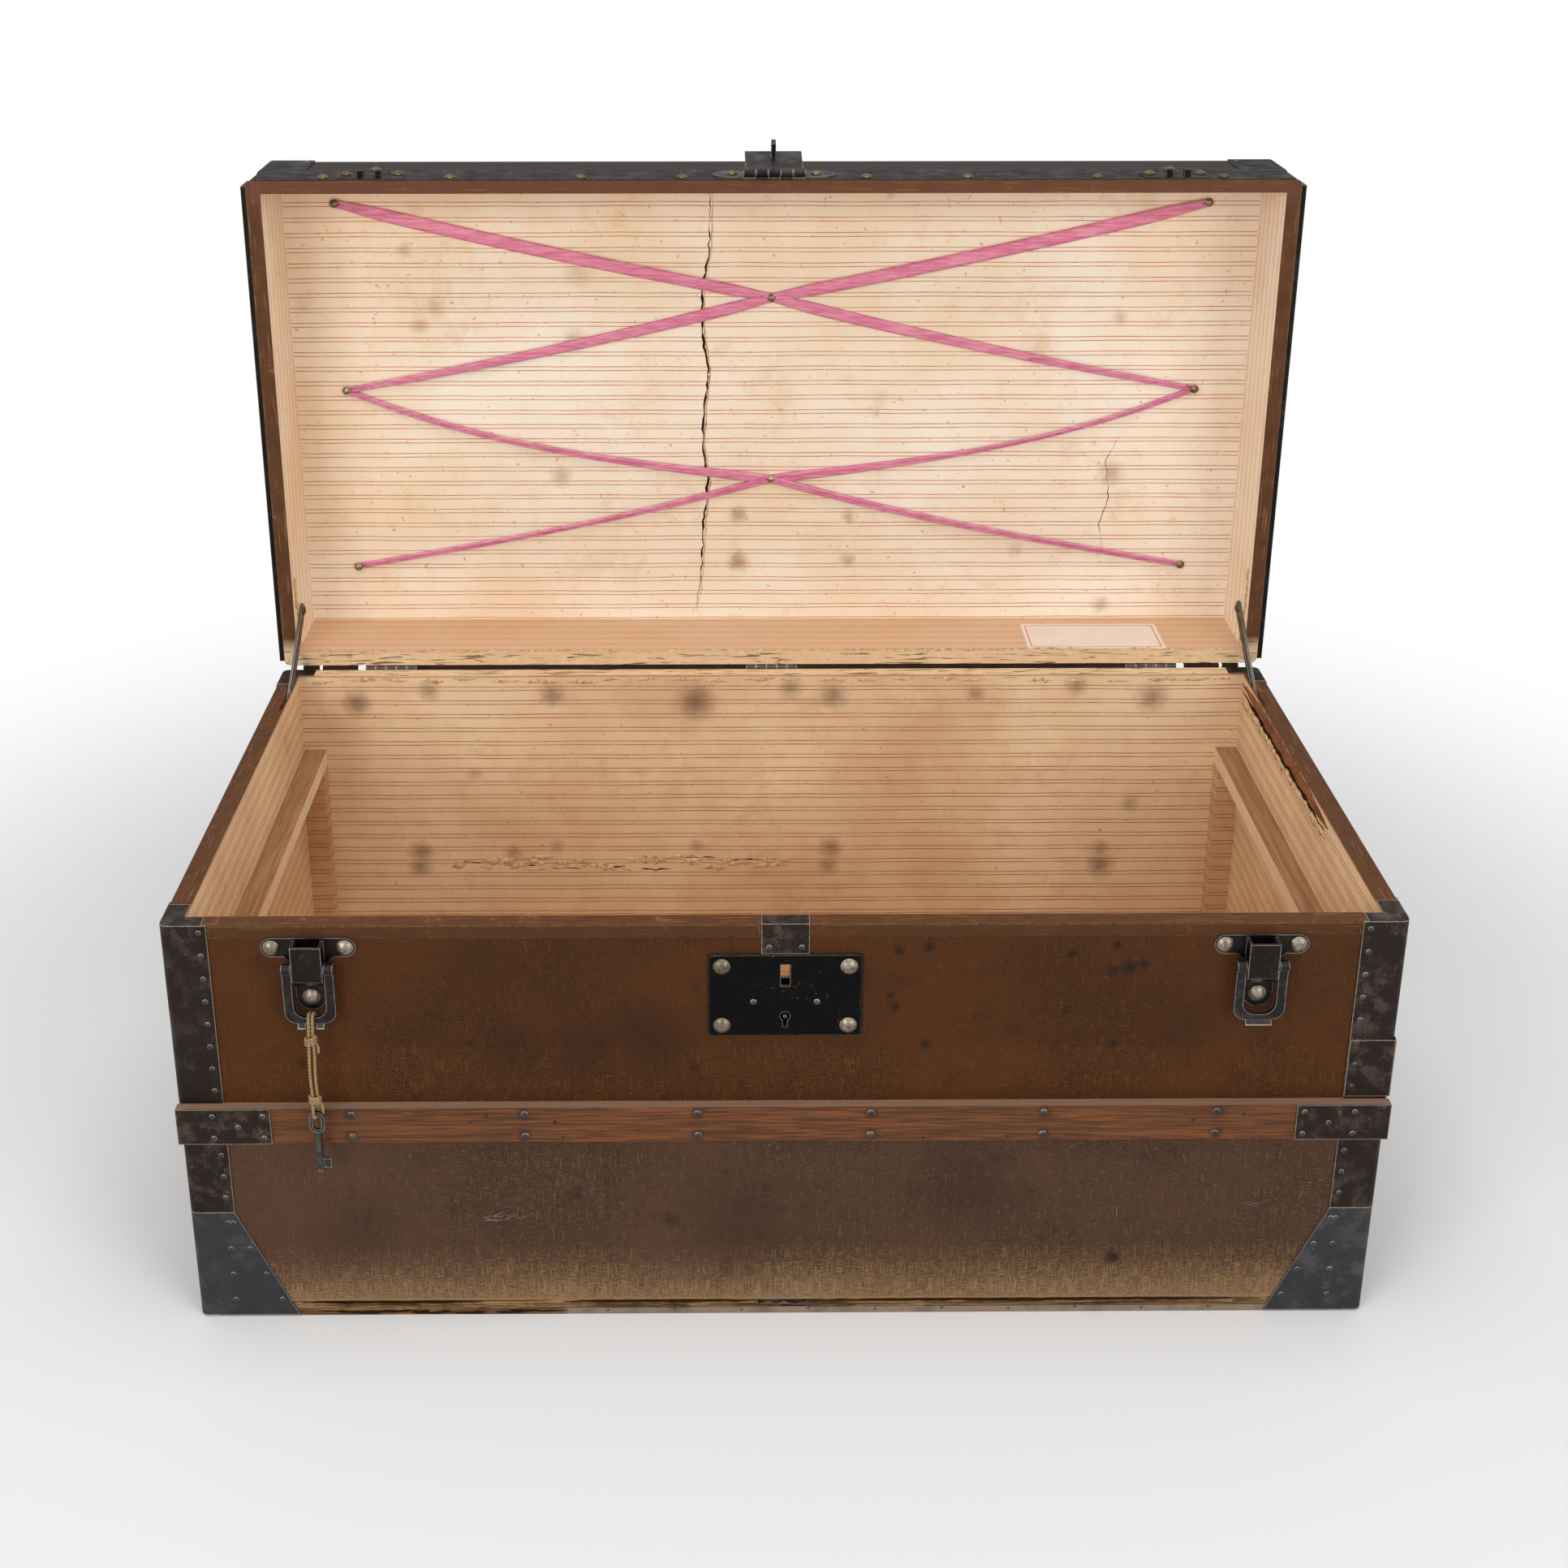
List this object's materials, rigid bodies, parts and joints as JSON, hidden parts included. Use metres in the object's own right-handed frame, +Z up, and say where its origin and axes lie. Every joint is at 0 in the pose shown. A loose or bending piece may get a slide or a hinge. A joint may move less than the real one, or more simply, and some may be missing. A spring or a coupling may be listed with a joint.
{
  "type": "travelling trunk",
  "caption": "Canvas-covered wooden travelling trunk with paper lining, steel corners, hinged lid on slotted stays, hasp lock, bail catches and end handles.",
  "frame": {"origin": "on the floor under the middle of the trunk's body, on the middle runner", "axes": "+X to the right along the trunk, +Y to the hinged back, +Z up"},
  "size_m": [0.84, 0.5074, 0.733],
  "materials": {
    "pine_board": "bare",
    "slat_wood": "worn varnish",
    "brown_canvas": "painted, worn",
    "lining_paper": "aged",
    "papered_wood": "paper covered",
    "rim_tape": "worn",
    "trim_steel": "patinated",
    "black_strip": "black paint",
    "lock_iron": "blackened",
    "rivet_brass": "dull",
    "handle_leather": "worn",
    "pink_ribbon": "faded",
    "jute_twine": "rough",
    "key_steel": "worn"
  },
  "bodies": {
    "trunk_body": {"back_board": "pine_board", "back_slat": "slat_wood", "bail_pins": "trim_steel", "base_plate": "trim_steel", "body_canvas": "brown_canvas", "body_linings": "lining_paper", "body_rivets": "rivet_brass", "bottom_board": "pine_board", "bottom_caps": "trim_steel", "bottom_runners": "slat_wood", "catch_plates": "trim_steel", "corner_bands": "trim_steel", "front_board": "pine_board", "front_slat": "slat_wood", "handle_mounts": "trim_steel", "hinge_body_leaves": "trim_steel", "hinge_pins": "trim_steel", "left_end_board": "pine_board", "lock_case": "lock_iron", "lock_plate": "lock_iron", "lock_spring": "lock_iron", "lock_strap": "trim_steel", "right_end_board": "pine_board", "rim_binding": "rim_tape", "slat_brackets": "trim_steel", "slat_screws": "trim_steel", "stay_guide_pins": "trim_steel", "steel_nails": "trim_steel", "tray_posts": "papered_wood", "tray_rails": "papered_wood"},
    "lid": {"lid_back_board": "pine_board", "lid_canvas": "brown_canvas", "lid_corner_caps": "trim_steel", "lid_edge_strips": "black_strip", "lid_front_band": "trim_steel", "lid_front_board": "pine_board", "lid_keepers": "trim_steel", "lid_left_board": "pine_board", "lid_linings": "lining_paper", "lid_nails": "trim_steel", "lid_right_board": "pine_board", "lid_rim_binding": "rim_tape", "lid_rivets": "rivet_brass", "lid_top_board": "pine_board", "hinge_lid_leaves": "trim_steel", "stay_pivots": "trim_steel", "hasp_plate": "trim_steel", "hasp_pin": "trim_steel", "ribbons": "pink_ribbon", "ribbon_nails": "rivet_brass"},
    "hasp": {"hasp_flap": "trim_steel"},
    "left_bail": {"left_bail": "trim_steel"},
    "right_bail": {"right_bail": "trim_steel"},
    "left_stay": {"left_stay": "trim_steel"},
    "right_stay": {"right_stay": "trim_steel"},
    "lock_bolt": {"lock_bolt": "lock_iron"},
    "left_handle": {"left_handle": "handle_leather"},
    "right_handle": {"right_handle": "handle_leather"},
    "key_string": {"twine": "jute_twine", "key": "key_steel"}
  },
  "joints": [
    {"name": "lid_hinge", "type": "hinge", "parent": "trunk_body", "child": "lid", "pos_m": [0, 0.2018, 0.3082], "axis": [1, 0, 0], "range_deg": [0, 90]},
    {"name": "hasp_hinge", "type": "hinge", "parent": "lid", "child": "hasp", "pos_m": [0, 0.203, 0.7145], "axis": [1, 0, 0], "range_deg": [0, 172]},
    {"name": "left_bail_pivot", "type": "hinge", "parent": "trunk_body", "child": "left_bail", "pos_m": [-0.3056, -0.2065, 0.28], "axis": [-1, 0, 0], "range_deg": [0, 180]},
    {"name": "right_bail_pivot", "type": "hinge", "parent": "trunk_body", "child": "right_bail", "pos_m": [0.3056, -0.2065, 0.28], "axis": [-1, 0, 0], "range_deg": [0, 180]},
    {"name": "left_stay_pivot", "type": "hinge", "parent": "lid", "child": "left_stay", "pos_m": [-0.3872, 0.2278, 0.3492], "axis": [1, 0, 0], "range_deg": [-45, 0]},
    {"name": "right_stay_pivot", "type": "hinge", "parent": "lid", "child": "right_stay", "pos_m": [0.3872, 0.2278, 0.3492], "axis": [1, 0, 0], "range_deg": [-45, 0]},
    {"name": "lock_bolt_slide", "type": "slide", "parent": "trunk_body", "child": "lock_bolt", "axis": [-1, 0, 0], "range_m": [0, 0.009]},
    {"name": "left_handle_pivot", "type": "hinge", "parent": "trunk_body", "child": "left_handle", "pos_m": [-0.412, 0, 0.236], "axis": [0, 1, 0], "range_deg": [0, 100]},
    {"name": "right_handle_pivot", "type": "hinge", "parent": "trunk_body", "child": "right_handle", "pos_m": [0.412, 0, 0.236], "axis": [0, -1, 0], "range_deg": [0, 100]},
    {"name": "key_string_swing", "type": "hinge", "parent": "left_bail", "child": "key_string", "pos_m": [-0.3056, -0.2065, 0.2426], "axis": [-1, 0, 0], "range_deg": [-180, 0]}
  ],
  "couplings": [
    {"joint": "left_stay_pivot", "follows": "lid_hinge", "ratio": -0.5},
    {"joint": "right_stay_pivot", "follows": "lid_hinge", "ratio": -0.5},
    {"joint": "key_string_swing", "follows": "left_bail_pivot", "ratio": -1}
  ]
}
